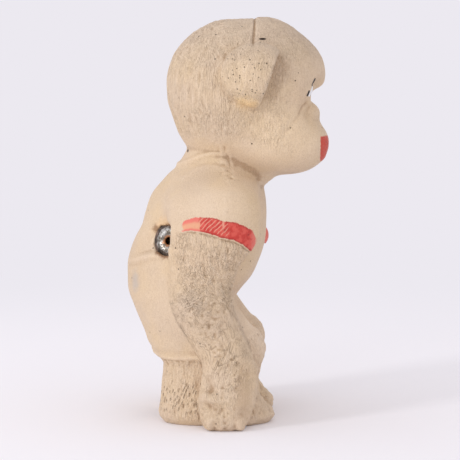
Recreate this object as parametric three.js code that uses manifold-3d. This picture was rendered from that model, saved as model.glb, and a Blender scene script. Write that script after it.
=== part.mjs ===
// Hollow rubber squeeze toy in the shape of a standing chimpanzee, with a metal squeaker in its back.
// Millimetres, +Z up. The figure faces -Y, its right side is -X, and the floor is z = 0.
import * as THREE from 'three';
import { mergeVertices } from 'three/addons/utils/BufferGeometryUtils.js';
import Module from 'manifold-3d';

const wasm = await Module();
wasm.setup();

// Main sizes of the figure.
const stature = 220;         // floor to crown
const armSpan = 113.6;       // across both arms at the fists
const rumpReach = 56;        // rump behind the drawing's middle line
const lipReach = 54.8;       // lips in front of it
const chestReach = 20.6;     // front of the chest in front of it
const hipHalf = 41;          // half the breadth of the hips
const stanceHalf = 42;       // middle of the body to the outside of a knee
const crotchHeight = 34;     // floor to the lowest point of the trunk
const thighTop = 72;         // floor to the top of the thigh
const napeBelowCrown = 69;   // crown down to where the neck ends inside the head
const shoulderBelowNape = 15;

// Rubber skin.
const wall = 2.4;            // thickness of the moulded skin
const soleWall = 3.2;        // thickness under the feet and fists

// Levels up the trunk. `up` is the share of its height; the rest is how far the skin lies in
// from the chest's front, from the rump and from the hips' sides.
const trunk = {
  crotch: { up: 0, front: 28.6, back: 15, side: 7 },
  buttocks: { up: 0.051, front: 25.2, back: 11.8, side: 3 },
  seat: { up: 0.12, front: 22.6, back: 9, side: 1.2 },
  thighs: { up: 0.24, front: 19.6, back: 3.2, side: 0 },
  hips: { up: 0.308, front: 14.6, back: 0.4, side: 0 },
  rump: { up: 0.37, front: 8.6, back: 0, side: 0.5 },
  waist: { up: 0.46, front: 3.6, back: 0.6, side: 1.8 },
  belly: { up: 0.55, front: 0.6, back: 4.2, side: 3 },
  chest: { up: 0.67, front: 0, back: 9.5, side: 2.2 },
  shoulders: { up: 0.77, front: 1.1, back: 14.6, side: -0.7 },
  collar: { up: 0.84, front: 1.2, back: 21.2, side: 5.6 },
  neck: { up: 0.9, front: 4, back: 27.5, side: 9.9 },
  nape: { up: 1, front: 7.7, back: 34.3, side: 18.2 },
};

// Levels up a leg: front and back from the middle line, and how far the sides lie in from the
// body's middle and from the outside of the knee.
const leg = {
  sole: { up: 0, front: -22.4, back: 35.4, inner: 6, outer: 3.5 },
  sidewall: { up: 0.05, front: -25.4, back: 38.2, inner: 3.6, outer: 1 },
  toes: { up: 0.11, front: -22.2, back: 38, inner: 3, outer: 0.4 },
  toeRoots: { up: 0.153, front: -19.4, back: 37.6, inner: 3.2, outer: 0.6 },
  instep: { up: 0.219, front: -16, back: 37.4, inner: 3.4, outer: 1.4 },
  ankle: { up: 0.319, front: -15.4, back: 36.4, inner: 4, outer: 2.6 },
  calf: { up: 0.419, front: -17, back: 35.6, inner: 3, outer: 2.4 },
  cuff: { up: 0.467, front: -18.6, back: 35.8, inner: 2.6, outer: 1.8 },
  hem: { up: 0.506, front: -19.4, back: 38, inner: 2, outer: 1 },
  shin: { up: 0.597, front: -19.6, back: 41.2, inner: 1.4, outer: 0.2 },
  knee: { up: 0.66, front: -18, back: 41.8, inner: 1, outer: 0 },
  kneeTop: { up: 0.736, front: -12, back: 42, inner: 1.4, outer: 0 },
  thigh: { up: 0.84, front: -6.4, back: 42, inner: 2.6, outer: 0.4 },
  lap: { up: 0.931, front: -2, back: 39.6, inner: 5.4, outer: 2.4 },
  hip: { up: 1, front: 2.6, back: 36, inner: 10, outer: 6 },
};

// Levels up an arm: front and back from the middle line, and how far its outer and inner side
// lie in from half the arm span.
const arm = {
  fist: { up: 0, front: -6.5, back: 12, outer: 4.4, inner: 16.4 },
  knuckles: { up: 0.025, front: -9.8, back: 14.2, outer: 1.4, inner: 19 },
  hand: { up: 0.07, front: -12.4, back: 15.7, outer: 0, inner: 20.6 },
  palm: { up: 0.12, front: -14.3, back: 16.1, outer: 0.5, inner: 21.4 },
  wrist: { up: 0.18, front: -15, back: 15, outer: 2.4, inner: 21.4 },
  forearm: { up: 0.25, front: -14.6, back: 14.2, outer: 3.4, inner: 21 },
  lowerArm: { up: 0.36, front: -8.2, back: 20.6, outer: 2.8, inner: 23.2 },
  elbow: { up: 0.53, front: -2, back: 30.2, outer: 1.3, inner: 25.8 },
  upperArm: { up: 0.64, front: -5.2, back: 31.5, outer: 2.1, inner: 25.8 },
  sleeve: { up: 0.74, front: -14.5, back: 32.9, outer: 1.2, inner: 26.7 },
  armpit: { up: 0.82, front: -17.3, back: 32.8, outer: 1.6, inner: 33 },
  shoulder: { up: 0.9, front: -17.2, back: 32, outer: 5.3, inner: 43 },
  slope: { up: 0.96, front: -14.9, back: 27.9, outer: 14.3, inner: 51.8 },
  top: { up: 1, front: -9.6, back: 22.1, outer: 24.3, inner: 51.7 },
};

// Rubber bridging the slope between a shoulder and the neck.
const yoke = { at: [22.8, 5.3, 127.8], half: [15.3, 17.7, 11.3] };

// Rounded masses of the head: centre measured from the skull's, and half lengths along X, Y and Z.
const skull = { at: [0, 0, 0], half: [36, 38, 38] };
const crown = { at: [0, 5.6, 3.6], half: [33, 30.6, 32.4] };
const crest = { at: [0, -15.5, 12], half: [25, 23.5, 27] };
const nape = { at: [0, 1.6, -27.3], half: [28.8, 28.4, 31.9] };
const forehead = { at: [0, -12.5, 8], half: [31.4, 35.6, 28.2] };
const muzzle = { at: [0, -28.3, -30], half: [23.6, 22.7, 17.4] };
const noseBridge = { at: [0, -32.6, -16.6], half: [12, 13.4, 13.2] };
const jaw = { at: [0, -13, -29], half: [27.5, 25, 17] };
const cheek = { at: [13.5, -14.8, -22.6], half: [17.8, 23.4, 22] };
const eyeSocket = { at: [14.5, -50, -0.5], half: [10.5, 9.8, 8] };
const browGap = { at: [0, -50, -4], half: [16, 10.5, 5] };
const eyeball = { at: [14, -36.5, 0.6], half: [7, 5.2, 5.4] };
const noseTip = { at: [0, -40.6, -13.5], half: [8, 5.2, 4.4] };
const upperLip = { at: [0, -44.4, -29.4], half: [15, 6.4, 3.9] };
const lowerLip = { at: [0, -42.6, -36.6], half: [13, 6.2, 3.8] };
const ear = { at: [33.5, -11, 8.4], half: [14, 19.4, 17.6] };
const earCup = { at: [37, -23.5, 7.5], half: [8.5, 8.5, 12] };
const earHollow = { at: [36.5, -29, 6], half: [8, 6.5, 12.5] };
const earFront = 18.4;       // open front of the ear, in front of the skull's centre
const earLean = 20;          // degrees that this front leans forward at its top

// Knuckles under a fist, the thumb, and the toes of a foot.
const knuckle = { half: [5.4, 3, 4.6], inFromSpan: 6.4, back: 10, step: 5.3, count: 4 };
const thumb = { half: [4.8, 5.4, 3], inFromSpan: 6.2, y: 9, z: 17.8 };
const toe = { half: [4, 6, 3.4], first: 9, step: 6.8, count: 5, y: -18.8, bend: 0.018 };
const longestToe = 12.5;      // middle of the body to the toe that reaches furthest

// Front edge of the left sleeve, which is moulded further forward than the right one.
const sleeveFold = { at: [41, -12, 95.5], half: [11, 10.5, 8.5] };

// Squeaker seat: where it sits on the trunk.
const seatHeight = 100.4;    // its centre above the floor
const seatTurn = 57;         // degrees from straight behind, towards the right flank
const seatTilt = 8;          // degrees that its face looks up
const metalGap = 0.3;        // clearance between the squeaker's pieces
const rubberGap = 0.3;       // clearance between the metal and the rubber round it

// Squeaker pieces. Depths are measured inwards from the rubber's surface.
const sheet = 0.5;           // thickness of the stamped metal
const mouthRadius = 8.2;     // opening in the rubber lip
const mouthFlare = 3;        // how much wider the opening gets in front of the skin
const lipDepth = 2.2;        // thickness of the lip in front of the rim
const rimRadius = 9.6;       // outside of the front plate's rolled rim
const cupRadius = 7.5;       // outside of the rear cup's wide part
const throatStep = 1;        // how far the rear cup steps in
const throatDepth = 8;       // where it steps in
const cupDepth = 11.5;       // back of the rear cup
const soundHole = 1.9;       // radius of the hole in the front plate
const soundHoleDepth = 2.3;  // how deep the hole's edge is dished in
const airHole = 1.8;         // radius of the hole in the rear cup
const crestRadius = 5;       // ring where the front plate bulges most
const crestDepth = 0.9;
const collarWall = 3;        // moulded rubber round the squeaker's rim
const collarTop = 3;         // depths of the collar's two ends
const collarDepth = 7.6;

const reedPlateThick = 0.8;
const reedThick = 0.2;
const reedHalf = 1;          // half the reed's width
const reedLength = 9.6;
const reedRoot = 5.2;        // top end of the reed above the seat's centre
const windowGap = 0.3;       // clearance of the reed in its window, at its sides
const windowPast = 0.5;      // how far the window goes on past the reed's tip
const clampTop = 4.9;        // upper and lower edge of the clamp
const clampFoot = 2.9;
const clampHalf = 3.4;       // half its length
const clampThick = 0.8;
const rivetRadius = 0.45;
const rivetHead = 1;         // radius of the heads
const rivetHeadThick = 0.5;
const rivetReach = 2.2;      // middle of the reed to a rivet

const rubber = new THREE.MeshStandardMaterial({ color: 0xd9bd9b, roughness: 0.72, metalness: 0 });
const tinplate = new THREE.MeshStandardMaterial({ color: 0x9c978c, roughness: 0.38, metalness: 0.9 });
const brass = new THREE.MeshStandardMaterial({ color: 0xb08d4c, roughness: 0.35, metalness: 0.9 });

// The levels as real places on the left half of the figure.
const trunkTop = stature - napeBelowCrown;
const trunkForm = {
  base: crotchHeight,
  top: trunkTop,
  squareness: 2,
  levels: Object.values(trunk).map(({ up, front, back, side }) => ({
    up, front: front - chestReach, back: rumpReach - back, left: hipHalf - side, right: side - hipHalf,
  })),
};
const legForm = {
  base: 0,
  top: thighTop,
  squareness: 2.3,
  levels: Object.values(leg).map(({ up, front, back, outer, inner }) => ({
    up, front, back, left: stanceHalf - outer, right: inner,
  })),
};
const armForm = {
  base: 0,
  top: trunkTop - shoulderBelowNape,
  squareness: 2,
  levels: Object.values(arm).map(({ up, front, back, outer, inner }) => ({
    up, front, back, left: armSpan / 2 - outer, right: armSpan / 2 - inner,
  })),
};
const headAt = [0, -(lipReach + upperLip.at[1] - upperLip.half[1]), stature - crest.at[2] - crest.half[2]];

// A closed geometry as a solid, turned the right way out.
function solid(geometry) {
  const bare = geometry.index ? geometry.toNonIndexed() : geometry.clone();
  bare.deleteAttribute('normal');
  bare.deleteAttribute('uv');
  const merged = mergeVertices(bare, 1e-4);
  const triVerts = new Uint32Array(merged.index.array);
  const vertProperties = merged.attributes.position.array;
  const made = new wasm.Manifold(new wasm.Mesh({ numProp: 3, vertProperties, triVerts }));
  if (made.volume() > 0) return made;
  for (let i = 0; i < triVerts.length; i += 3) {
    [triVerts[i + 1], triVerts[i + 2]] = [triVerts[i + 2], triVerts[i + 1]];
  }
  return new wasm.Manifold(new wasm.Mesh({ numProp: 3, vertProperties, triVerts }));
}

function geometryOf(made) {
  const mesh = made.getMesh();
  const geometry = new THREE.BufferGeometry();
  geometry.setAttribute('position', new THREE.BufferAttribute(new Float32Array(mesh.vertProperties), 3));
  geometry.setIndex(new THREE.BufferAttribute(new Uint32Array(mesh.triVerts), 1));
  geometry.computeVertexNormals();
  return geometry;
}

function joined(solids) {
  return solids.reduce((all, one) => all.add(one));
}

function bothSides(geometry) {
  const mirror = new THREE.Matrix4().makeScale(-1, 1, 1);
  return [solid(geometry), solid(geometry.clone().applyMatrix4(mirror))];
}

// A smooth stack of oval rings through a form's levels, closed at both ends. `inset` draws every
// side and the top in by one thickness, and `lift` raises the lower end.
function loft(form, rings, sides, inset = 0, lift = 0) {
  const heightOf = (up) => THREE.MathUtils.clamp(
    THREE.MathUtils.lerp(form.base, form.top, up), form.base + lift, form.top - inset);
  const through = (a, b) => new THREE.CatmullRomCurve3(
    form.levels.map((l) => new THREE.Vector3(l[a], l[b], heightOf(l.up))), false, 'catmullrom', 0.5);
  const frontBack = through('front', 'back');
  const rightLeft = through('right', 'left');
  const bulge = (wave) => Math.sign(wave) * Math.abs(wave) ** (2 / form.squareness);
  const position = [];
  for (let i = 0; i <= rings; i++) {
    const { x: front, y: back, z } = frontBack.getPoint(i / rings);
    const { x: right, y: left } = rightLeft.getPoint(i / rings);
    for (let j = 0; j < sides; j++) {
      const turn = (2 * Math.PI * j) / sides;
      position.push(
        (left + right) / 2 + bulge(Math.cos(turn)) * ((left - right) / 2 - inset),
        (back + front) / 2 + bulge(Math.sin(turn)) * ((back - front) / 2 - inset),
        z);
    }
  }
  const centres = [frontBack, rightLeft].flatMap((curve) => [curve.getPoint(0), curve.getPoint(1)]);
  const [lowEnd, highEnd, lowSides, highSides] = centres;
  position.push((lowSides.x + lowSides.y) / 2, (lowEnd.x + lowEnd.y) / 2, lowEnd.z);
  position.push((highSides.x + highSides.y) / 2, (highEnd.x + highEnd.y) / 2, highEnd.z);
  const lowCentre = (rings + 1) * sides;
  const index = [];
  for (let j = 0; j < sides; j++) {
    const next = (j + 1) % sides;
    index.push(lowCentre, next, j, lowCentre + 1, rings * sides + j, rings * sides + next);
    for (let i = 0; i < rings; i++) {
      const low = i * sides;
      const high = low + sides;
      index.push(low + j, low + next, high + next, low + j, high + next, high + j);
    }
  }
  const geometry = new THREE.BufferGeometry();
  geometry.setAttribute('position', new THREE.Float32BufferAttribute(position, 3));
  geometry.setIndex(index);
  return geometry;
}

function ball(at, half, across, down) {
  return new THREE.SphereGeometry(1, across, down).rotateX(Math.PI / 2).scale(...half).translate(...at);
}

// A rounded mass of the head, grown or shrunk by `grow`.
function mass({ at, half }, grow, across, down) {
  return ball(at.map((v, i) => v + headAt[i]), half.map((h) => h + grow), across, down);
}

// An ear: a round lobe with its front cut away and hollowed.
function earShape() {
  const block = Math.max(...ear.half) * 4;
  const cutter = new THREE.BoxGeometry(block, block, block)
    .translate(0, -block / 2, 0)
    .rotateX(THREE.MathUtils.degToRad(earLean))
    .translate(ear.at[0] + headAt[0], headAt[1] - earFront, ear.at[2] + headAt[2]);
  return geometryOf(solid(mass(ear, 0, 14, 10)).subtract(solid(cutter)).subtract(solid(mass(earCup, 0, 10, 6))));
}

// Head: rounded masses joined, pressed in at the eyes and before the ears, then the features set on.
function headSolid() {
  const masses = joined([
    solid(mass(skull, 0, 22, 14)),
    solid(mass(crown, 0, 20, 12)),
    solid(mass(crest, 0, 18, 12)),
    solid(mass(nape, 0, 28, 12)),
    solid(mass(forehead, 0, 20, 12)),
    solid(mass(muzzle, 0, 18, 11)),
    solid(mass(noseBridge, 0, 10, 7)),
    solid(mass(jaw, 0, 16, 8)),
    ...bothSides(mass(cheek, 0, 14, 9)),
  ]);
  const hollows = joined([
    ...bothSides(mass(eyeSocket, 0, 12, 8)),
    ...bothSides(mass(earHollow, 0, 10, 8)),
    solid(mass(browGap, 0, 12, 6)),
  ]);
  const features = joined([
    ...bothSides(mass(eyeball, 0, 10, 6)),
    solid(mass(noseTip, 0, 10, 5)),
    solid(mass(upperLip, 0, 12, 6)),
    solid(mass(lowerLip, 0, 12, 6)),
    ...bothSides(earShape()),
  ]);
  return masses.subtract(hollows).add(features);
}

function headHollow() {
  const masses = joined([
    solid(mass(skull, -wall, 14, 10)),
    solid(mass(forehead, -wall, 12, 8)),
    solid(mass(muzzle, -wall, 10, 7)),
    solid(mass(jaw, -wall, 10, 5)),
  ]);
  const hollows = joined([
    ...bothSides(mass(eyeSocket, wall, 8, 5)),
    ...bothSides(mass(earHollow, wall, 8, 5)),
    solid(mass(browGap, wall, 8, 5)),
  ]);
  return masses.subtract(hollows);
}

function fingersAndToes() {
  const shapes = [ball([armSpan / 2 - thumb.inFromSpan, thumb.y, thumb.z], thumb.half, 7, 4)];
  for (let i = 0; i < knuckle.count; i++) {
    const y = knuckle.back - i * knuckle.step;
    shapes.push(ball([armSpan / 2 - knuckle.inFromSpan, y, knuckle.half[2]], knuckle.half, 7, 4));
  }
  for (let i = 0; i < toe.count; i++) {
    const x = toe.first + i * toe.step;
    const y = toe.y + toe.bend * (x - longestToe) ** 2;
    shapes.push(ball([x, y, toe.half[2]], toe.half, 8, 4));
  }
  return joined(shapes.flatMap((shape) => bothSides(shape)));
}

// Squeaker seat: +Z looks out of the rubber, +Y runs up the back and +X forward round the flank.
function seatFrame() {
  const up = (seatHeight - trunkForm.base) / (trunkForm.top - trunkForm.base);
  const above = trunkForm.levels.findIndex((l) => l.up > up);
  const [a, b] = [trunkForm.levels[above - 1], trunkForm.levels[above]];
  const at = (side) => THREE.MathUtils.mapLinear(up, a.up, b.up, a[side], b[side]);
  const halfWide = at('left');
  const halfDeep = (at('back') - at('front')) / 2;
  const turn = THREE.MathUtils.degToRad(seatTurn);
  const tilt = THREE.MathUtils.degToRad(seatTilt);
  const reach = Math.hypot(halfWide * Math.sin(turn), halfDeep * Math.cos(turn));
  const out = new THREE.Vector3(-Math.sin(turn) * Math.cos(tilt), Math.cos(turn) * Math.cos(tilt), Math.sin(tilt));
  const forward = new THREE.Vector3(-Math.cos(turn), -Math.sin(turn), 0);
  return new THREE.Matrix4().makeBasis(forward, out.clone().cross(forward), out).setPosition(
    (-(halfWide ** 2) * Math.sin(turn)) / reach,
    (at('back') + at('front')) / 2 + (halfDeep ** 2 * Math.cos(turn)) / reach,
    seatHeight);
}

// A turned shape about the seat's axis. Each profile point is [radius, depth below the surface],
// and the points run outwards over the top first, then inwards underneath.
function turned(profile, sides) {
  const points = [...profile, profile[0]].map(([radius, depth]) => new THREE.Vector2(radius, -depth));
  return new THREE.LatheGeometry(points.reverse(), sides).rotateX(Math.PI / 2);
}

// Depths of the squeaker's layers, from the rubber lip inwards.
const plateDepth = lipDepth + rubberGap;
const flangeDepth = plateDepth + sheet + metalGap;
const curlDepth = flangeDepth + sheet + metalGap;
const grooveDepth = curlDepth + sheet + rubberGap;
const flangeRadius = rimRadius - sheet - metalGap;
const ledgeDepth = throatDepth - sheet;
const reedPlateDepth = ledgeDepth - metalGap - reedPlateThick;
const reedDepth = reedPlateDepth - metalGap - reedThick;
const clampDepth = reedDepth - metalGap - clampThick;

// The mouth, the groove for the rim and the bore for the cup, cut from the rubber.
function socket() {
  const outside = -mouthFlare * 4;
  const inside = cupDepth + collarDepth;
  return turned([
    [0, outside], [mouthRadius + mouthFlare, outside], [mouthRadius, 0], [mouthRadius, lipDepth],
    [rimRadius + rubberGap, lipDepth], [rimRadius + rubberGap, grooveDepth],
    [cupRadius + rubberGap, grooveDepth], [cupRadius + rubberGap, inside], [0, inside],
  ], 28);
}

function bodySolid(seat) {
  const skin = joined([
    solid(loft(trunkForm, 24, 28)),
    ...bothSides(loft(legForm, 20, 18)),
    ...bothSides(loft(armForm, 21, 15)),
    ...bothSides(ball(yoke.at, yoke.half, 12, 8)),
    headSolid(),
    fingersAndToes(),
    solid(ball(sleeveFold.at, sleeveFold.half, 12, 8)),
  ]);
  const inside = joined([
    solid(loft(trunkForm, 13, 14, wall, wall)),
    ...bothSides(loft(legForm, 10, 10, wall, soleWall)),
    ...bothSides(loft(armForm, 15, 9, wall, soleWall)),
    headHollow(),
  ]);
  const floor = new THREE.BoxGeometry(armSpan * 2, armSpan * 2, stature).translate(0, 0, -stature / 2);
  const collarRadius = rimRadius + collarWall;
  const collar = new THREE.CylinderGeometry(collarRadius, collarRadius, collarDepth - collarTop, 24)
    .rotateX(Math.PI / 2)
    .translate(0, 0, -(collarDepth + collarTop) / 2)
    .applyMatrix4(seat);
  return skin.subtract(solid(floor)).subtract(inside).add(solid(collar))
    .subtract(solid(socket().applyMatrix4(seat)));
}

// Front plate: a dished disc with the sound hole, whose rolled rim grips the cup's flange.
function frontPlate() {
  const inner = (soundHole + crestRadius) / 2;
  const innerDepth = (soundHoleDepth + crestDepth) / 2 - sheet / 3;
  const outer = (crestRadius + mouthRadius) / 2;
  const outerDepth = (crestDepth + plateDepth) / 2 - sheet / 3;
  return turned([
    [soundHole, soundHoleDepth], [inner, innerDepth], [crestRadius, crestDepth], [outer, outerDepth],
    [mouthRadius, plateDepth], [rimRadius, plateDepth], [rimRadius, curlDepth + sheet],
    [cupRadius + metalGap, curlDepth + sheet], [cupRadius + metalGap, curlDepth],
    [rimRadius - sheet, curlDepth], [rimRadius - sheet, plateDepth + sheet],
    [mouthRadius - sheet / 2, plateDepth + sheet], [outer, outerDepth + sheet],
    [crestRadius, crestDepth + sheet], [inner, innerDepth + sheet], [soundHole, soundHoleDepth + sheet],
  ], 32);
}

// Rear cup: flanged, stepped in where the reed plate rests, with an air hole in its floor.
function rearCup() {
  const throatRadius = cupRadius - throatStep;
  return turned([
    [flangeRadius, flangeDepth], [flangeRadius, flangeDepth + sheet], [cupRadius, flangeDepth + sheet],
    [cupRadius, throatDepth], [throatRadius, throatDepth], [throatRadius, cupDepth], [airHole, cupDepth],
    [airHole, cupDepth - sheet], [throatRadius - sheet, cupDepth - sheet], [throatRadius - sheet, ledgeDepth],
    [cupRadius - sheet, ledgeDepth], [cupRadius - sheet, flangeDepth],
  ], 32);
}

function bar(halfX, foot, top, depth, thick) {
  return new THREE.BoxGeometry(halfX * 2, top - foot, thick)
    .translate(0, (foot + top) / 2, -(depth + thick / 2));
}

const rivetHeight = (clampTop + clampFoot) / 2;

// A plate with the two rivet holes drilled through it.
function withRivetHoles(made) {
  const radius = rivetRadius + metalGap;
  const drills = [-rivetReach, rivetReach].map((x) => solid(
    new THREE.CylinderGeometry(radius, radius, cupDepth * 4, 14).rotateX(Math.PI / 2).translate(x, rivetHeight, 0)));
  return geometryOf(made.subtract(joined(drills)));
}

function reedPlate() {
  const radius = cupRadius - sheet - metalGap;
  const disc = new THREE.CylinderGeometry(radius, radius, reedPlateThick, 32)
    .rotateX(Math.PI / 2)
    .translate(0, 0, -(reedPlateDepth + reedPlateThick / 2));
  const foot = reedRoot - reedLength - windowPast;
  const window = bar(reedHalf + windowGap, foot, clampFoot - windowGap, reedPlateDepth - sheet, cupDepth);
  return withRivetHoles(solid(disc).subtract(solid(window)));
}

function clamp() {
  return withRivetHoles(solid(bar(clampHalf, clampFoot, clampTop, clampDepth, clampThick)));
}

// A rivet with a head on each side, through the clamp and the reed plate.
function rivet(x) {
  const upper = clampDepth - metalGap;
  const lower = reedPlateDepth + reedPlateThick + metalGap;
  return turned([
    [0, upper - rivetHeadThick], [rivetHead, upper - rivetHeadThick], [rivetHead, upper],
    [rivetRadius, upper], [rivetRadius, lower], [rivetHead, lower],
    [rivetHead, lower + rivetHeadThick], [0, lower + rivetHeadThick],
  ], 12).translate(x, rivetHeight, 0);
}

function piece(name, geometry, material) {
  const mesh = new THREE.Mesh(geometry, material);
  mesh.name = name;
  return mesh;
}

const seat = seatFrame();
const squeaker = new THREE.Group();
squeaker.applyMatrix4(seat);
squeaker.add(piece('squeaker_front_plate', frontPlate(), tinplate));
squeaker.add(piece('squeaker_rear_cup', rearCup(), tinplate));
squeaker.add(piece('reed_plate', reedPlate(), brass));
squeaker.add(piece('reed', bar(reedHalf, reedRoot - reedLength, reedRoot, reedDepth, reedThick), brass));
squeaker.add(piece('reed_clamp', clamp(), tinplate));
squeaker.add(piece('front_rivet', rivet(rivetReach), brass));
squeaker.add(piece('back_rivet', rivet(-rivetReach), brass));

const figure = new THREE.Group();
figure.position.y = (lipReach - rumpReach) / 2;
figure.add(piece('rubber_body', geometryOf(bodySolid(seat)), rubber));
figure.add(squeaker);

const chimpanzee = new THREE.Group();
chimpanzee.add(figure);
export default chimpanzee;
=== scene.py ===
import math
import bpy
import numpy as np
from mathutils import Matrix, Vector


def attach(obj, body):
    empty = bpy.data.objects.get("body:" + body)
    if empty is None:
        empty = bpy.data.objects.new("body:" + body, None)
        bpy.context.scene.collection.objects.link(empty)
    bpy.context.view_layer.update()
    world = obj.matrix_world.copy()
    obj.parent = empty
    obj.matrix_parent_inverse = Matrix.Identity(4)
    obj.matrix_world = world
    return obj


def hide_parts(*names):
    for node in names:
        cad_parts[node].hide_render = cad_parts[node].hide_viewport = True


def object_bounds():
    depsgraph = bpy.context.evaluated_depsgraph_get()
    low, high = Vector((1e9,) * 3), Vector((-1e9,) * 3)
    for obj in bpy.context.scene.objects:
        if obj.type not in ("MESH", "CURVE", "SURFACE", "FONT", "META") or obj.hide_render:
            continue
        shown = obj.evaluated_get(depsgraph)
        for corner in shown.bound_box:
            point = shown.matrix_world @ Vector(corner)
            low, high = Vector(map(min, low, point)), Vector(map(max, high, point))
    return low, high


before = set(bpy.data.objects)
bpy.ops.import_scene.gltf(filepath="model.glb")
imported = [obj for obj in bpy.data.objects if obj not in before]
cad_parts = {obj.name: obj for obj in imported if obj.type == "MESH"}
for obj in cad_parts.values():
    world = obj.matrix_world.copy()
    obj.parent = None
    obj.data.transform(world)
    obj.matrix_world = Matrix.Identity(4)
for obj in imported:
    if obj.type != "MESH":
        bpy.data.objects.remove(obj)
cadLow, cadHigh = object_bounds()


# Shape of the rubber skin in millimetres, for the figure's left half. The right half mirrors it.
shape = dict(
    # Grid that the surface is taken from: its spacing and corners, then the most triangles it may keep.
    step=0.9, gridLow=(-58.5, -58, -2), gridHigh=(0.45, 58, 223), triangles=196000,
    # Trunk levels: height, front, back, half breadth.
    trunk=[
        (35.4, 6.8, 41, 36), (40, 4, 43.6, 38), (48, 1.4, 46.4, 39.8), (62.1, -1.6, 52.2, 41),
        (70, -6.6, 55, 41), (77.3, -12.6, 55.4, 40.5), (87.8, -17.6, 54.8, 39.2), (98.4, -20.6, 51.2, 38),
        (106.5, -21, 47.2, 38.4), (112.4, -21.2, 45.6, 38.8), (124.1, -20.2, 41.2, 37.4), (132.3, -18.5, 34.4, 31.8),
        (139.3, -17.2, 28, 26), (151, -14.6, 20.9, 21.5),
    ],
    # Leg and arm levels: height, front, back, outside, inside.
    leg=[
        (0, -23, 34.8, 38.5, 6), (3.6, -26, 37.6, 41, 3.6), (7.9, -22.8, 37.4, 41.6, 3),
        (11, -20, 37, 41.4, 3.2), (15.8, -16.6, 36.8, 40.6, 3.4), (23, -16, 35.8, 39.4, 4),
        (30.2, -17.6, 35, 39.6, 3), (33.6, -19.2, 35.2, 40.2, 2.6), (36.4, -20, 37.4, 41, 2),
        (43, -20.2, 40.6, 41.8, 1.4), (47.5, -18.6, 41.2, 42, 1), (53, -12.6, 41.4, 42, 1.4),
        (60.5, -7, 41.4, 41.6, 2.6), (67, -2.6, 39, 39.6, 5.4), (72, 2, 35.4, 36, 10),
    ],
    arm=[
        (0, -7.1, 11.4, 52.4, 40.4), (3.4, -10.4, 13.6, 55.4, 37.8), (9.5, -13, 15.1, 56.3, 36.2),
        (16.3, -14.9, 15.5, 56.3, 35.4), (24.5, -15.6, 14.4, 54.4, 35.4), (34, -15.2, 13.6, 53.4, 35.8),
        (49, -8.8, 20, 54, 33.6), (72.1, -2.6, 29.6, 55.5, 31), (87, -5.8, 30.9, 54.7, 31),
        (100.6, -15.2, 32.2, 55.6, 30.6), (111.5, -18, 31.6, 55, 26), (122.4, -17, 29.4, 51.4, 18.8),
        (130.6, -13.6, 24, 42.4, 9.8), (136, -7.6, 18.4, 30.4, 3.4), (141, -2.4, 13.6, 19.6, -2.4),
    ],
    # Head masses: centre and half lengths.
    headAt=(0, -4.6, 181),
    skull=((0, 0, 0), (36, 38, 38)),
    crown=((0, 5.6, 3.6), (33, 30.6, 32.4)),
    crest=((0, -15.5, 12), (25, 23.5, 26.8)),
    nape=((0, -0.5, -20), (30, 32, 24)),
    forehead=((0, -14, 8), (31, 34.6, 26.5)),
    muzzle=((0, -29, -30.2), (23, 22, 17)),
    noseBridge=((0, -32, -17), (11, 13.2, 13)),
    jaw=((0, -13, -29), (27.5, 25, 17)),
    cheek=((13.5, -16, -22), (17.5, 21, 20.5)),
    eyeSocket=((14.5, -50, -0.5), (10.5, 9.8, 8)),
    browGap=((0, -50, -4), (16, 10.5, 5)),
    eyeball=((14, -36.5, 0.6), (7, 5.2, 5.4)),
    noseTip=((0, -40.6, -13.5), (8, 5.2, 4.4)),
    upperLip=((0, -44.1, -29.4), (15, 6.4, 3.9)),
    lowerLip=((0, -42.6, -36.6), (13, 6.2, 3.8)),
    ear=((33.5, -11, 8.4), (14, 19.4, 17.6)),
    earCup=((37, -23.5, 7.5), (8.5, 8.5, 12)),
    earHollow=((36.5, -29, 6), (8, 6.5, 12.5)),
    earFront=18.4,
    earLean=20,
    thumb=((50.6, 8.4, 17.8), (4.8, 5.4, 3)),
    throat=((0, -18.2, 132), (15, 4.4, 3.6)),
    sleeveFold=((41, -12.6, 95.5), (11, 10.5, 8.5)),
    knuckle=(5.4, 3, 4.6),
    toe=(4, 6, 3.4),
    # How far each soft join reaches. Those of leg and arm are pairs of height and reach, the head's of y and reach.
    joins=dict(crown=3, forehead=4, crest=5, nape=5, jaw=7, cheek=6, noseBridge=4, face=5,
               browGap=3, eyeSocket=3.5, eyeball=0.8, noseTip=2.5, lips=1.5, earFront=2, earCup=1.6,
               earHollow=3, ear=2.4, throat=3, sleeveFold=3, thumb=4, knuckle=1.6, toe=2.4, seat=0.9),
    legJoin=[(38, 2), (56, 6)],
    armJoin=[(32, 2.4), (42, 7), (60, 10), (82, 9.6), (94, 7), (108, 9), (120, 13),
             (136, 13), (146, 7)],
    headJoin=[(-16, 9), (4, 3)],
)
seat = dict(
    at=(-32.601, 33.293, 100.4),
    forward=(-0.544639, -0.838671, 0),
    up=(0.116720, -0.075799, 0.990268),
    out=(-0.830509, 0.539339, 0.139173),
    mouth=8.2, flare=3, lip=2.2, groove=9.9, grooveEnd=4.9, bore=7.8, boreEnd=14, reach=5,
    # Recess round it: its depth, its edges above and below (height, slope, where, fade), and those
    # behind and in front (where, fade).
    deep=2, above=(9, 0.24, -8.4, 7), below=(-7.6, 0.236, -3.1, 3.4), behind=(-25, 15), front=(11, 4),
)


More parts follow.
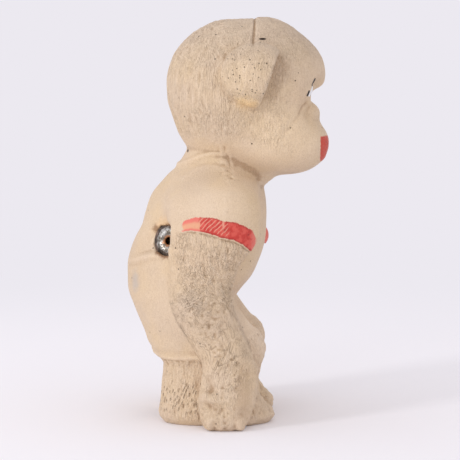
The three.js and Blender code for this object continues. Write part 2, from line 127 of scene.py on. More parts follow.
def through(levels, column, z):
    # Smooth curve through the levels: between two of them a cubic whose slopes at both ends are
    # those of the parabola through each level and its neighbours.
    heights = np.array([row[0] for row in levels])
    values = np.array([row[column] for row in levels])
    slopes = np.gradient(values, heights)
    low = np.clip(np.searchsorted(heights, z) - 1, 0, len(heights) - 2)
    span = heights[low + 1] - heights[low]
    t = np.clip((z - heights[low]) / span, 0, 1)
    start = values[low] * (1 + 2 * t) * (1 - t) ** 2 + slopes[low] * span * t * (1 - t) ** 2
    end = values[low + 1] * t * t * (3 - 2 * t) + slopes[low + 1] * span * t * t * (t - 1)
    return start + end


def curveAt(pairs, at):
    return np.interp(at, *np.array(sorted(pairs)).T)


def united(a, b, reach):
    # Smooth union of two distances: the smaller one, less the square of their overlap.
    overlap = np.maximum(reach - np.abs(a - b), 0)
    return np.minimum(a, b) - overlap * overlap / (4 * reach)


def without(a, b, reach):
    return -united(-a, b, reach)


def oval(x, y, z, centre, half):
    # Distance to an ellipsoid: n(n - 1)/g with n the length of p/half and g that of p/half^2.
    u, v, w = (x - centre[0]) / half[0], (y - centre[1]) / half[1], (z - centre[2]) / half[2]
    n = np.sqrt(u * u + v * v + w * w)
    g = np.sqrt((u / half[0]) ** 2 + (v / half[1]) ** 2 + (w / half[2]) ** 2)
    return n * (n - 1) / np.maximum(g, 1e-6)


def stacked(x, y, z, front, back, outside, inside, ends, cap, power):
    # Stack of ovals: the same measure with the level's own middle and half lengths, and past the
    # two ends the height over them counts as a third direction.
    middleX, halfX = (outside + inside) / 2, (outside - inside) / 2
    middleY, halfY = (back + front) / 2, (back - front) / 2
    u, v = np.abs((x - middleX) / halfX), np.abs((y - middleY) / halfY)
    w = (np.maximum(ends[0] - z, 0) + np.maximum(z - ends[1], 0)) / cap
    if power == 2:
        n = np.sqrt(u * u + v * v + w * w)
    else:
        n = (u ** power + v ** power + w ** power) ** (1 / power)
    g = np.sqrt((u / halfX) ** 2 + (v / halfY) ** 2 + (w / cap) ** 2)
    return n * (n - 1) / np.maximum(g, 1e-6)


def limb(x, y, z, levels, cap, power):
    ends = levels[0][0], levels[-1][0]
    front, back, outside, inside = (through(levels, c, np.clip(z, *ends)) for c in (1, 2, 3, 4))
    return stacked(x, y, z, front, back, outside, inside, ends, cap, power)


def aheadOfEar(y, z):
    # Distance in front of the slanting plane that ends the ear.
    lean = math.radians(shape["earLean"])
    py, pz = y - shape["headAt"][1], z - shape["headAt"][2]
    return -(py + shape["earFront"]) * math.cos(lean) - (pz - shape["ear"][0][2]) * math.sin(lean)


def headField(x, y, z):
    # Head: rounded masses joined softly, eye hollows pressed in, then eyes, nose, lips and ears.
    px, py, pz = (value - middle for value, middle in zip((x, y, z), shape["headAt"]))
    side = np.abs(px)
    joins = shape["joins"]

    def mass(name):
        return oval(side, py, pz, *shape[name])

    def joined(field, *names):
        for name in names:
            field = united(field, mass(name), joins[name])
        return field

    head = joined(mass("skull"), "crown", "forehead", "crest", "nape")
    head = united(head, joined(mass("muzzle"), "jaw", "cheek", "noseBridge"), joins["face"])
    head = without(head, joined(mass("eyeSocket"), "browGap"), joins["eyeSocket"])
    head = joined(head, "eyeball", "noseTip")
    head = united(head, np.minimum(mass("upperLip"), mass("lowerLip")), joins["lips"])
    head = without(head, mass("earHollow"), joins["earHollow"])
    lobe = without(mass("ear"), -aheadOfEar(y, z), joins["earFront"])
    return united(head, without(lobe, mass("earCup"), joins["earCup"]), joins["ear"])


def trunkField(side, y, z):
    levels = shape["trunk"]
    ends = levels[0][0], levels[-1][0]
    front, back, half = (through(levels, c, np.clip(z, *ends)) for c in (1, 2, 3))
    return stacked(side, y, z, front, back, half, -half, ends, cap=3, power=2)


def legField(side, y, z):
    # Leg: its levels, and five toes side by side whose tips follow a shallow curve.
    leg = limb(side, y, z, shape["leg"], cap=6, power=2.3)
    for i in range(5):
        toeX = 9 + i * 6.8
        toeY = -19.2 + 0.018 * (toeX - 9) * (toeX - 16)
        leg = united(leg, oval(side, y, z, (toeX, toeY, shape["toe"][2]), shape["toe"]), shape["joins"]["toe"])
    return leg


def armField(side, y, z):
    # Arm: its levels, the knuckles under the fist, and the thumb.
    arm = limb(side, y, z, shape["arm"], cap=8, power=2)
    for i in range(4):
        at = (50.4, 9.4 - i * 5.3, shape["knuckle"][2])
        arm = united(arm, oval(side, y, z, at, shape["knuckle"]), shape["joins"]["knuckle"])
    return united(arm, oval(side, y, z, *shape["thumb"]), shape["joins"]["thumb"])


def alongSeat(x, y, z):
    # Place in the squeaker's own directions: forward and up across its disc, and out of the skin.
    px, py, pz = x - seat["at"][0], y - seat["at"][1], z - seat["at"][2]
    return (px * v[0] + py * v[1] + pz * v[2] for v in (seat["forward"], seat["up"], seat["out"]))


def recessOf(x, y, z):
    # Shallow recess in the back round the squeaker: full depth between two slanting edges.
    along, over, out = alongSeat(x, y, z)

    def under(height, slope, where, fade, way=1):
        return np.clip(way * (height + slope * (along - where) - over) / fade, 0, 1)

    deep = under(*seat["above"]) * under(*seat["below"], way=-1)
    for way, (where, fade) in ((1, seat["behind"]), (-1, seat["front"])):
        deep = deep * np.clip(way * (along - where) / fade, 0, 1)
    return seat["deep"] * deep * deep * (3 - 2 * deep) * (np.abs(out) < seat["boreEnd"])


def wholeField(x, y, z):
    side = np.abs(x)
    body = united(trunkField(side, y, z), legField(side, y, z), curveAt(shape["legJoin"], z))
    body = united(body, armField(side, y, z), curveAt(shape["armJoin"], z))
    body = united(body, oval(x, y, z, *shape["throat"]), shape["joins"]["throat"])
    figure = united(body, headField(x, y, z), curveAt(shape["headJoin"], y))
    return np.maximum(figure, -z)


def socketField(x, y, z):
    # Squeaker seat: mouth that flares outwards, groove behind the lip, bore behind that.
    along, over, out = alongSeat(x, y, z)
    radius, depth = np.hypot(along, over), -out
    opening = seat["mouth"] + np.maximum(-depth, 0) * seat["flare"] / 12
    mouth = np.maximum(radius - opening, np.maximum(depth - seat["lip"] - 0.5, -depth - seat["reach"]))
    middle = (seat["lip"] + seat["grooveEnd"]) / 2
    groove = np.maximum(radius - seat["groove"], np.abs(depth - middle) - (seat["grooveEnd"] - seat["lip"]) / 2)
    bore = np.maximum(radius - seat["bore"], np.maximum(depth - seat["boreEnd"], 1 - depth))
    return np.minimum(np.minimum(mouth, groove), bore)


def oneSided(field, x, y, z):
    # What only one side has: the left sleeve's fold, and the squeaker's recess and seat on the right.
    field = united(field, oval(x, y, z, *shape["sleeveFold"]), shape["joins"]["sleeveFold"])
    return without(field + recessOf(x, y, z), socketField(x, y, z), shape["joins"]["seat"])


def skinField(x, y, z):
    return oneSided(wholeField(x, y, z), x, y, z)


def netSurface(field, axes):
    # Surface nets: each cell that the surface crosses gets one point, the mean of where its edges
    # cross zero, and each crossed grid edge joins the four cells round it with a quad.
    inside = field < 0
    size = tuple(n - 1 for n in field.shape)
    count = np.zeros(size, np.int8)
    corners = list(np.ndindex(2, 2, 2))
    for corner in corners:
        count += inside[tuple(slice(first, first + n) for first, n in zip(corner, size))]
    crossed = (count > 0) & (count < 8)
    cells = np.argwhere(crossed)
    number = np.full(size, -1, np.int32)
    number[crossed] = np.arange(len(cells))
    value = {corner: field[tuple((cells + corner).T)] for corner in corners}
    total = np.zeros((len(cells), 3))
    hits = np.zeros(len(cells))
    for a in corners:
        for axis in range(3):
            if a[axis]:
                continue
            b = tuple(1 if i == axis else a[i] for i in range(3))
            cut = (value[a] < 0) != (value[b] < 0)
            share = np.where(cut, value[a] / np.where(cut, value[a] - value[b], 1), 0)
            spot = np.tile(np.array(a, float), (len(cells), 1))
            spot[:, axis] += share
            total += spot * cut[:, None]
            hits += cut
    local = total / hits[:, None]
    start, following = np.array([axis[:2] for axis in axes]).T
    points = start + (cells + local) * (following - start)
    quads = []
    for axis in range(3):
        b, c = (axis + 1) % 3, (axis + 2) % 3
        change = np.diff(inside.astype(np.int8), axis=axis)
        edges = np.argwhere(change)
        edges = edges[((edges > 0) & (edges < size))[:, [b, c]].all(1)]
        outward = change[tuple(edges.T)] < 0
        ring = []
        for db, dc in ((-1, -1), (0, -1), (0, 0), (-1, 0)):
            cell = edges.copy()
            cell[:, b] += db
            cell[:, c] += dc
            ring.append(number[tuple(cell.T)])
        ring = np.stack(ring, 1)
        ring[~outward] = ring[~outward][:, ::-1]
        quads.append(ring)
    return points, np.concatenate(quads)


def slopeOf(points, width=0.15):
    # Gradient of the skin's field by central differences.
    out = np.empty_like(points)
    for axis in range(3):
        ahead, behind = points.copy(), points.copy()
        ahead[:, axis] += width
        behind[:, axis] -= width
        out[:, axis] = (skinField(*ahead.T) - skinField(*behind.T)) / (2 * width)
    return out


def settled(points, rounds, most):
    # Newton steps onto the surface: each point moves along the slope by the field over the slope's square.
    for _ in range(rounds):
        slope = slopeOf(points)
        steep = np.maximum((slope ** 2).sum(1), 1e-3)
        move = np.clip(skinField(*points.T) / steep, -most, most)
        points = points - slope * move[:, None]
    return points


# Relief of the skin: where things sit on it, as (y, z) pairs on the figure's side. The mould line's
# pairs are (z, y), the cheek's crease has (x, y, z), and leftDrop says how much lower the left
# sleeve sits. The ear's rim: middle, half breadth and half height.
relief = dict(
    seam=[(36, 12), (60, 12.4), (78, 11), (95, 6), (113, 2.3), (133.5, -2.2),
          (137.3, -2.8), (144.6, -0.6), (150, -0.2), (185, -9), (207, -13.8), (220, -14.8)],
    collar=[(27, 139.6), (20.6, 142.6), (15.1, 145), (9.1, 146.6), (2.6, 147.4), (-4, 146.4), (-12, 141)],
    yoke=[(24, 133.6), (15.9, 138.7), (9.6, 140.5), (0.2, 138.9)],
    bandTop=[(24, 112.6), (22.7, 113.5), (17.5, 115.4), (13.5, 115.6), (7.1, 115.3), (2.3, 113.5), (-3.8, 112.9),
             (-8.9, 110.7), (-13, 108.1), (-15, 103.6)],
    bandBottom=[(24.6, 107.2), (20.4, 108.2), (14.1, 107.6), (9.4, 106.5), (3.1, 104.4), (-3.2, 103),
                (-7.8, 100.4), (-12.2, 96), (-15, 92)],
    leftDrop=[(24, 0), (0, 1), (-12, 2.5), (-22, 3)],
    shortsHem=[(-21, 52), (-6, 46), (12, 38), (20, 36.8), (36, 36)],
    lash=[[(-47.3, 186.7), (-46.6, 185.1), (-46, 183.9), (-45.7, 183.3)],
          [(-44, 180.4), (-43.6, 179.1), (-43, 177.8)]],
    fold=[(56, 86.4), (53.2, 87.3), (41.7, 92), (31.4, 94.8), (27, 96.2)],
    scar=[(2.4, 150.3), (1, 147.8), (-1.1, 141), (-1.9, 137.9), (-1.9, 134)],
    earRim=(-13.5, 190, 17.2, 16.4),
    cheekCrease=[(13, -42.5, 172.6), (18.1, -39.1, 167.9), (24.2, -36.2, 164.5), (27.7, -32.9, 160.4),
                 (28, -28, 156)],
    whorl=(10.5, 57),
    # Two hollows and a ridge of the fist: height, width, and a line of (x, y, z).
    fist=[(-1.7, 2.8, [(51.7, 11.4, 27), (52.4, 9.2, 22.6)]),
          (-1.5, 3.1, [(54.5, 11, 14.2), (56, 4.4, 12.2)]),
          (0.9, 1.7, [(52.6, 12.6, 20.4), (53.6, 10.4, 17.6), (54.6, 9, 16.6)])],
    # The eye's middle as (x, z), and the cosine and sine of its slant.
    eyeAt=(12.6, 181), eyeSlant=(0.95, 0.31),
)


def smoothStep(low, high, value):
    t = np.clip((value - low) / (high - low), 0, 1)
    return t * t * (3 - 2 * t)


def bell(value, width):
    return np.exp(-(value / width) ** 2)


def speckle(points, size, seed):
    # Smooth noise from -1 to 1: random values at the corners of a lattice of that size, blended
    # with 3t^2 - 2t^3 along each direction.
    table = np.random.default_rng(seed).uniform(-1, 1, 4096)
    scaled = points / size
    cell = np.floor(scaled).astype(np.int64)
    t = scaled - cell
    t = t * t * (3 - 2 * t)
    total = np.zeros(len(points))
    for corner in np.ndindex(2, 2, 2):
        i, j, k = (cell + corner).T
        key = (i * 73856093) ^ (j * 19349663) ^ (k * 83492791)
        total += table[key & 4095] * np.where(corner, t, 1 - t).prod(1)
    return total


def toLine(points, line):
    # Distance to a chain of straight pieces, the least over the pieces.
    best = np.full(len(points), 1e9)
    for a, b in zip(line[:-1], line[1:]):
        a, b = np.array(a), np.array(b)
        t = np.clip(((points - a) @ (b - a)) / ((b - a) @ (b - a)), 0, 1)
        best = np.minimum(best, np.linalg.norm(points - a - t[:, None] * (b - a), axis=1))
    return best


def pastSeam(y, z):
    # Distance behind the mould line at that height.
    return y - curveAt(relief["seam"], z)


def describe(points, normals):
    # Where each point lies: on which limb, how furry it is, and its place on sleeve and eye.
    x, y, z = points.T
    side = np.abs(x)
    head = headField(x, y, z)
    arm = armField(side, y, z)
    body = np.minimum(trunkField(side, y, z), legField(side, y, z))
    join = head - np.minimum(arm, body)
    headness = smoothStep(1.2, -1.2, join)
    armness = smoothStep(1, -1, arm - body) * (1 - headness)

    # Sleeve band, which sits lower and further forward on the left arm.
    left = x > 0
    bandY = y + left * 7 * smoothStep(0, -14, y)
    drop = left * curveAt(relief["leftDrop"], y)
    bottom = curveAt(relief["bandBottom"], bandY) - drop
    top = curveAt(relief["bandTop"], bandY) - drop + left * 3 * smoothStep(-12, -17, y)
    across = (z - bottom) / (top - bottom)
    outer = smoothStep(-0.1, 0.45, normals[:, 0] * np.sign(x))
    sleeveOn = armness * np.where(left, np.maximum(smoothStep(-0.4, 0.1, normals[:, 0]), y < -14), outer)

    # Fur: less of it on the thumb's side and the face, none at the very bottom.
    armFur = armness * smoothStep(0.6, -1.6, z - bottom) * smoothStep(0, 6, z)
    front, rear = (through(shape["arm"], c, np.clip(z, 0, 136)) for c in (1, 2))
    ulna = smoothStep(1, 8, rear - y - 4 * smoothStep(80, 50, z)) * smoothStep(8, 38, z)
    thumbSide = smoothStep(9, 4, y - front - 3) * smoothStep(78, 46, z)
    armFur = armFur * (0.45 + 0.55 * ulna) * (1 - 0.6 * thumbSide)
    hem = curveAt(relief["shortsHem"], y)
    legFur = (1 - armness) * (1 - headness) * smoothStep(0.5, -1.5, z - hem) * smoothStep(1, 5, z)
    cheek = smoothStep(-26, -38, y) * smoothStep(205, 190, z)
    headFur = headness * (1 - 0.75 * cheek) * smoothStep(150, 160, z + 0.35 * np.maximum(-y - 8, 0))

    # Its direction runs down the limb and curls into a whorl on the forearm.
    dy, dz = y - relief["whorl"][0], z - relief["whorl"][1]
    radius = np.hypot(dy, dz)
    curl = bell(radius, 9)
    furry = np.clip((1 - 0.9 * curl * armness) * armFur + 0.7 * legFur + 0.55 * headFur, 0, 1)
    swirl = bell(radius, 17) * armness
    long = 185 + (z - 185) * (1 - 0.5 * headness * smoothStep(-14, 10, y))
    turn = np.abs(np.arctan2(dz, dy)) * 13
    fur = np.stack([x, (1 - swirl) * y + swirl * radius * 1.2, (1 - swirl) * long + swirl * turn], 1)

    # Shaded strip in front of the ear, the eye, and the black dabs at its brow.
    ahead = aheadOfEar(y, z)
    lee = headness * smoothStep(-0.6, 0.6, ahead) * smoothStep(8.5, 6, ahead) * smoothStep(22, 26, side)
    lee = lee * smoothStep(173, 178, z) * smoothStep(203, 199, z + 0.8 * ahead)
    eyeball = oval(side, y - shape["headAt"][1], z - shape["headAt"][2], *shape["eyeball"])
    eyeX, eyeZ = side - relief["eyeAt"][0], z - relief["eyeAt"][1]
    cos, sin = relief["eyeSlant"]
    eye = np.stack([cos * eyeX - sin * eyeZ, sin * eyeX + cos * eyeZ, headness * smoothStep(0.9, 0.4, eyeball)], 1)
    flat = np.stack([y, z], 1)
    lash = np.minimum(*(toLine(flat, line) for line in relief["lash"])) + 9 * (side < 11) + 9 * (side > 23)
    return dict(head=headness, arm=armness, join=join, bottom=bottom, sleeve=np.stack([y, across, sleeveOn], 1),
                hem=hem, armFur=armFur, legFur=legFur, headFur=headFur, furry=furry, fur=fur, curl=curl,
                lee=lee, eye=eye, lash=lash)


def reliefOf(points, at):
    # Height of the relief: sum of the grooves, ridges, folds and strokes, in millimetres.
    x, y, z = points.T
    side = np.abs(x)
    past = pastSeam(y, z)
    flat, near = np.stack([y, z], 1), np.stack([side, y, z], 1)
    face = smoothStep(-30, -38, y) * at["head"]
    bumps = 0.34 * speckle(points, 24, 1) + 0.12 * speckle(points, 7, 2) * (1 - face)
    crown = smoothStep(203, 208.5, z)
    bumps -= 0.75 * crown * bell(past, 0.85) + 0.35 * crown * smoothStep(-0.4, 0.4, past) * bell(past, 6)
    rough = 0.5 + 0.5 * speckle(points, 3, 3)
    sandy = speckle(points, 1.9, 9)
    outside = smoothStep(14, 20, side)
    scar = bell(y - 2 - 0.15 * (z - 142), 2.6) * smoothStep(131, 136, z) * smoothStep(152, 149, z)
    bumps += scar * (0.15 + 0.5 * sandy) * outside
    ridge = bell(past, 3.2) * smoothStep(112, 118, z) * smoothStep(140, 134, z)
    bumps += ridge * (0.1 + 0.3 * sandy) * outside
    scar = toLine(flat, relief["scar"])
    bumps -= bell(scar, 0.9) * (0.4 + 0.5 * speckle(points, 3.6, 12)) * outside
    bumps += 0.4 * rough * bell(past, 0.9) * smoothStep(150.5, 147, z) * smoothStep(60, 70, z)
    bumps += 0.25 * bell(past, 1) * smoothStep(156, 170, z) * smoothStep(204, 198, z) * at["head"]

    # Collar and shoulder ridges, the fold under the jaw, and the ear's rim.
    torso = 1 - at["head"]
    above = z - curveAt(relief["collar"], y)
    bumps += torso * (0.7 * bell(above, 1) - 0.3 * bell(above + 2.4, 1.6)) * smoothStep(-8, -1, y)
    above = z - curveAt(relief["yoke"], y)
    above = 0.6 * bell(above, 1.1) - 0.2 * bell(above + 2.6, 1.8)
    bumps += torso * above * smoothStep(-1, 4, y) * smoothStep(30, 22, y)
    valley = smoothStep(2, -4, y) * smoothStep(8, 16, side)
    bumps -= 0.2 * bell(at["join"], 1.6) + 0.85 * bell(at["join"] + 0.5, 4.8) * valley
    bumps -= 0.25 * bell(at["join"] - 2.4, 0.9) * valley * smoothStep(-14, -17, y)
    rimY, rimZ, rimWide, rimTall = relief["earRim"]
    rim = (np.hypot((y - rimY) / rimWide, (z - rimZ) / rimTall) - 1) * rimWide
    rim = 0.2 * bell(rim - 1.2, 1.5) - 0.22 * bell(rim + 1.4, 1.6)
    bumps -= at["head"] * rim * smoothStep(-16, -10, y) * smoothStep(22, 27, side)

    # Hems of sleeve and shorts, and the crease of the cheek.
    over = z - at["bottom"]
    edge = 0.45 * smoothStep(-0.8, 0.3, over) * bell(over, 7) - 0.3 * bell(over + 0.9, 0.9)
    bumps += at["sleeve"][:, 2] * smoothStep(27, 22, y) * edge
    over = z - at["hem"]
    legs = (1 - at["arm"]) * (1 - at["head"]) * (0.35 + 0.65 * smoothStep(-16, -2, y))
    bumps += legs * (0.55 * bell(over - 0.4, 1.1) - 0.3 * bell(over - 3.4, 1.6) - 0.2 * bell(over + 1.5, 1.4))
    bumps -= at["head"] * 0.7 * bell(toLine(near, relief["cheekCrease"]), 1.8)

    # Fur: long strokes and tufts that follow its direction, and grains.
    strokes = speckle(at["fur"] * (1, 1, 0.3), 1.7, 4)
    tufts = speckle(at["fur"] * (1, 1, 0.34), 3.2, 5)
    grains = speckle(points, 1.7, 10)
    grainy = 0.12 + 0.2 * at["curl"] + 0.32 * smoothStep(82, 66, z)
    bumps += at["armFur"] * ((1 - at["curl"]) * (0.36 * strokes + 0.1 * tufts) + grainy * grains)
    bumps += at["arm"] * 0.28 * grains * smoothStep(15, 9, z)
    bumps += at["legFur"] * 0.3 * grains * smoothStep(-2, -12, y)
    bumps += at["legFur"] * (0.26 + 0.16 * smoothStep(5, 14, y)) * strokes
    bumps += at["legFur"] * (0.2 + 0.36 * smoothStep(-2, -14, y)) * tufts
    behind = smoothStep(-8, 6, y)
    bumps += at["headFur"] * ((0.14 + 0.3 * behind) * strokes + 0.1 * (1 - behind) * grains)

    # The fist, dashes above the heels, and the fold across the rump.
    for high, wide, line in relief["fist"]:
        bumps += at["arm"] * high * bell(toLine(near, line), wide)
    dashes = speckle(points * (1, 1, 0.4) + (0, 0.25, 0) * points[:, 2:3], 1.5, 6)
    heel = at["legFur"] * smoothStep(4.5, 8, z) * smoothStep(25, 20, z) * smoothStep(11, 17, y)
    bumps -= heel * 0.5 * np.maximum(dashes - 0.02, 0)
    fold = toLine(flat, relief["fold"])
    below = smoothStep(0, 3, curveAt(relief["fold"], y) - z)
    fold = (0.45 * bell(fold, 1.2) - 0.35 * bell(fold - 2.6, 1.8) * below) * smoothStep(24, 30, y)
    bumps += (1 - at["arm"]) * (x < -8) * fold
    return bumps


def addObject(name, data):
    obj = bpy.data.objects.new(name, data)
    bpy.context.scene.collection.objects.link(obj)
    return obj


def makeMesh(name, points, faces):
    # Piece from points in millimetres and faces that all have the same number of corners.
    mesh = bpy.data.meshes.new(name)
    mesh.vertices.add(len(points))
    mesh.vertices.foreach_set("co", (points / 1000).astype(np.float32).ravel())
    mesh.loops.add(faces.size)
    mesh.loops.foreach_set("vertex_index", faces.astype(np.int32).ravel())
    mesh.polygons.add(len(faces))
    mesh.polygons.foreach_set("loop_start", np.arange(0, faces.size, faces.shape[1], dtype=np.int32))
    mesh.polygons.foreach_set("loop_total", np.full(len(faces), faces.shape[1], np.int32))
    mesh.update(calc_edges=True)
    mesh.validate()
    mesh.polygons.foreach_set("use_smooth", np.ones(len(mesh.polygons), bool))
    return addObject(name, mesh)


def thinned(obj, most):
    # Collapses the least useful edges until the piece has at most that many triangles.
    count = sum(len(p.vertices) - 2 for p in obj.data.polygons)
    if count > most:
        modifier = obj.modifiers.new("thin", "DECIMATE")
        modifier.ratio = most / count
        seen = obj.evaluated_get(bpy.context.evaluated_depsgraph_get())
        mesh = bpy.data.meshes.new_from_object(seen)
        obj.modifiers.clear()
        old = obj.data
        obj.data = mesh
        bpy.data.meshes.remove(old)
        mesh.polygons.foreach_set("use_smooth", np.ones(len(mesh.polygons), bool))
    return obj


def hollowness(points, edges, rounds):
    # How far each point lies under the mean of its neighbours, smoothed over a few rounds.
    count = np.bincount(edges.ravel(), minlength=len(points))[:, None]

    def mean(values):
        total = np.zeros_like(values)
        for column in range(values.shape[1]):
            total[:, column] = (np.bincount(edges[:, 0], values[edges[:, 1], column], len(values))
                                + np.bincount(edges[:, 1], values[edges[:, 0], column], len(values)))
        return total / np.maximum(count, 1)

    blurred = points
    for _ in range(rounds):
        blurred = mean(blurred)
    return blurred - points


def putValues(mesh, name, values):
    kind, field = ("FLOAT_VECTOR", "vector") if values.ndim == 2 else ("FLOAT", "value")
    layer = mesh.attributes.new(name, kind, "POINT")
    layer.data.foreach_set(field, values.astype(np.float32).ravel())


def valuesOf(items, name, kind, columns):
    # Reads one property of all the items of a mesh as an array with that many columns.
    flat = np.empty(len(items) * columns, kind)
    items.foreach_get(name, flat)
    return flat.reshape(-1, columns)


def makeSkin():
    # Half the figure on a grid, mirrored, then the surface with its relief, thinned and described.
    h = shape["step"]
    xs, ys, zs = (np.arange(low, high, h) for low, high in zip(shape["gridLow"], shape["gridHigh"]))
    xs = xs - xs[-1]
    field = wholeField(xs[:, None, None], ys[None, :, None], zs[None, None, :])
    field = np.concatenate([field, field[-2::-1]], 0)
    xs = np.concatenate([xs, -xs[-2::-1]])
    field = oneSided(field, xs[:, None, None], ys[None, :, None], zs[None, None, :])
    points, quads = netSurface(field, (xs, ys, zs))
    points = settled(points, rounds=2, most=0.4)
    normals = slopeOf(points)
    normals /= np.maximum(np.linalg.norm(normals, axis=1, keepdims=True), 1e-6)
    at = describe(points, normals)
    along, over, out = alongSeat(*points.T)
    radius = np.hypot(along, over) + 20 * (np.abs(out) > 16)
    keep = smoothStep(seat["mouth"] + 0.6, seat["mouth"] + 3, radius)
    keep = keep * smoothStep(0, 1.5, points[:, 2])
    points = points + normals * (reliefOf(points, at) * keep)[:, None]
    points[:, 2] = np.maximum(points[:, 2], 0)
    points = np.clip(points, np.array(cadLow) * 1000, np.array(cadHigh) * 1000)
    piece = thinned(makeMesh("rubber_skin", points, quads), shape["triangles"])
    mesh = piece.data
    points = valuesOf(mesh.vertices, "co", np.float32, 3).astype(float) * 1000
    normals = valuesOf(mesh.vertices, "normal", np.float32, 3).astype(float)
    ends = valuesOf(mesh.edges, "vertices", np.int32, 2)
    near, wide = ((hollowness(points, ends, rounds) * normals).sum(1) for rounds in (2, 14))
    at = describe(points, normals)
    past = pastSeam(points[:, 1], points[:, 2])
    at.update(crease=np.stack([near, wide, past], 1), limb=np.stack([at["head"], at["arm"], at["legFur"]], 1))
    for name in ("fur", "furry", "sleeve", "eye", "crease", "limb", "lee", "lash"):
        putValues(mesh, name, at[name])
    return piece


class Signal:
    # One output of a shader node. Arithmetic on signals adds math nodes to their tree.
    def __init__(self, socket):
        self.socket = socket

    def __add__(self, other):
        return calc("ADD", self, other)

    def __sub__(self, other):
        return calc("SUBTRACT", self, other)

    def __mul__(self, other):
        return calc("MULTIPLY", self, other)

    def __truediv__(self, other):
        return calc("DIVIDE", self, other)

    def __pow__(self, power):
        return calc("POWER", self, power)

    def __abs__(self):
        return calc("ABSOLUTE", self)


def feed(value, socket):
    # Gives an input its value: a number, a colour or a signal.
    if isinstance(value, Signal):
        socket.id_data.links.new(value.socket, socket)
    else:
        socket.default_value = value


def newNode(kind, values, **settings):
    # New node in the tree of the first signal among the values, which go to its inputs.
    tree = next(value.socket.id_data for value in values.values() if isinstance(value, Signal))
    node = tree.nodes.new("ShaderNode" + kind)
    for name, setting in settings.items():
        setattr(node, name, setting)
    for name, value in values.items():
        feed(value, node.inputs[name])
    return node


def outputsOf(node):
    return {socket.name: Signal(socket) for socket in node.outputs}


def calc(operation, *values):
    return Signal(newNode("Math", dict(enumerate(values)), operation=operation).outputs[0])


def vectorCalc(operation, *values):
    node = newNode("VectorMath", dict(enumerate(values)), operation=operation)
    return Signal(node.outputs["Value" if operation in ("LENGTH", "DOT_PRODUCT") else "Vector"])


def stretched(vector, amounts):
    return vectorCalc("MULTIPLY", vector, amounts)


def larger(first, *others):
    for other in others:
        first = calc("MAXIMUM", first, other)
    return first


def ranged(value, low, high, start=0, end=1):
    # Soft step from start to end while the value goes from low to high. It falls where low is above high.
    values = {"Value": value, "From Min": low, "From Max": high, "To Min": start, "To Max": end}
    return Signal(newNode("MapRange", values, interpolation_type="SMOOTHSTEP").outputs["Result"])


def noiseOf(place, scale, detail, output="Fac"):
    return Signal(newNode("TexNoise", dict(Vector=place, Scale=scale, Detail=detail)).outputs[output])


def unsteady(value, place, scale, detail, amount):
    # The value plus noise of that amount, half of it either way.
    return (noiseOf(place, scale, detail) - 0.5) * amount + value


def cellsOf(place, scale):
    return outputsOf(newNode("TexVoronoi", dict(Vector=place, Scale=scale)))


def mixed(share, under, over):
    return Signal(newNode("Mix", {"Factor": share, 6: under, 7: over}, data_type="RGBA").outputs[2])


def tone(red, green, blue):
    # Linear colour from 0 to 255 screen values.
    return tuple(((c / 255 + 0.055) / 1.055) ** 2.4 if c > 10 else c / 3294.6 for c in (red, green, blue)) + (1,)


def material(name, roughness, metallic=0):
    made = bpy.data.materials.new(name)
    made.use_nodes = True
    shader = made.node_tree.nodes["Principled BSDF"]
    shader.inputs["Roughness"].default_value = roughness
    shader.inputs["Metallic"].default_value = metallic
    return made, made.node_tree, shader


def bumped(shader, height):
    # Fine relief, its height in millimetres.
    node = newNode("Bump", dict(Height=height, Distance=0.001))
    feed(Signal(node.outputs["Normal"]), shader.inputs["Normal"])


def attributeOf(tree, name, output="Fac"):
    node = tree.nodes.new("ShaderNodeAttribute")
    node.attribute_name = name
    return Signal(node.outputs[output])


def splitUp(vector):
    return [Signal(socket) for socket in newNode("SeparateXYZ", {0: vector}).outputs]


def placeIn(tree):
    # Where the point lies on the piece, in metres.
    return Signal(tree.nodes.new("ShaderNodeTexCoord").outputs["Object"])


def millimetres(tree):
    return stretched(placeIn(tree), (1000, 1000, 1000))


